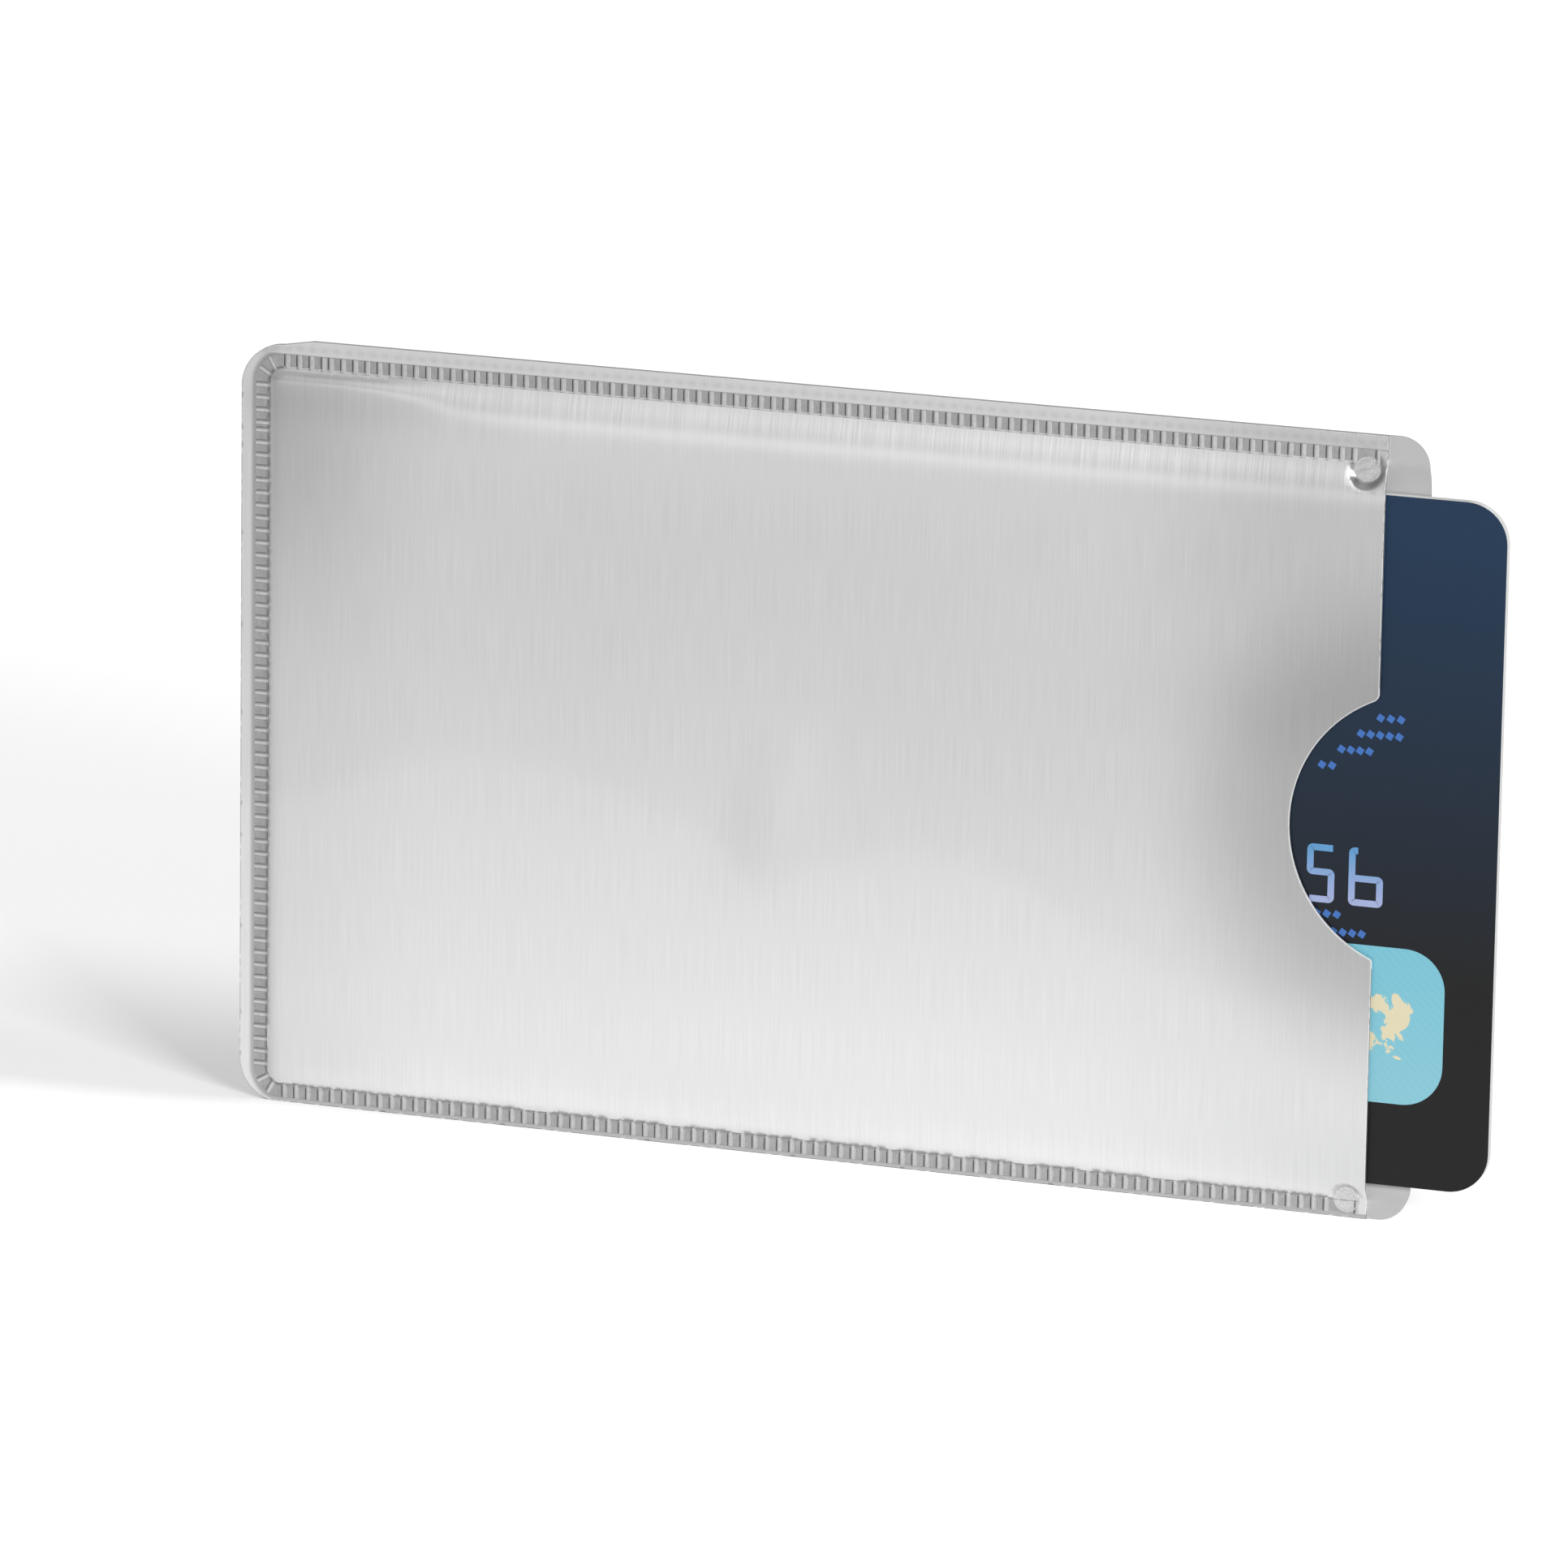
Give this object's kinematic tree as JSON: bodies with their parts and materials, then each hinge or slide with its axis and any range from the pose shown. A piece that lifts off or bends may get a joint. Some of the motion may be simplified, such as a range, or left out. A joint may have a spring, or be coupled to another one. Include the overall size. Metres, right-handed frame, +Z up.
{
  "type": "rfid card sleeve",
  "caption": "Slim shielding sleeve of welded metallised laminate with a thumb notch, and a payment-card sized card sliding out of its mouth.",
  "frame": {"origin": "under the middle of the whole length, in the sleeve's middle plane, on the lower edge that it stands on", "axes": "+X along the length towards the mouth, -Y out of the notched front, +Z up across the height"},
  "size_m": [0.1018, 0.002, 0.0614],
  "materials": {
    "front_film": "brushed metallised film",
    "back_film": "plain satin metallised film",
    "shield_foil": "bright foil",
    "seal_liner": "matte heat-seal film",
    "weld": "matte pressed weld",
    "card_print": "satin printed sheet",
    "card_core": "matte white",
    "antenna": "copper track",
    "chip_resin": "potting resin",
    "contacts": "gold-plated",
    "emblem": "pale blue foil",
    "stripe": "magnetic tape",
    "signature": "writable panel"
  },
  "bodies": {
    "sleeve": {"front_film": "front_film", "front_shield_foil": "shield_foil", "front_seal_liner": "seal_liner", "back_film": "back_film", "back_shield_foil": "shield_foil", "back_seal_liner": "seal_liner", "top_weld_seam": "weld", "closed_end_weld_seam": "weld", "bottom_weld_seam": "weld", "top_mouth_weld": "weld", "bottom_mouth_weld": "weld"},
    "card": {"card_front_sheet": "card_print", "card_front_core": "card_core", "card_inlay": "card_core", "card_back_core": "card_core", "card_back_sheet": "card_print", "antenna_coil": "antenna", "chip_module": "chip_resin", "contact_plate": "contacts", "emblem_foil": "emblem", "magnetic_stripe": "stripe", "signature_panel": "signature"}
  },
  "joints": [
    {"name": "card_slide", "type": "slide", "parent": "sleeve", "child": "card", "axis": [1, 0, 0], "range_m": [-0.0127, 0.07]}
  ]
}
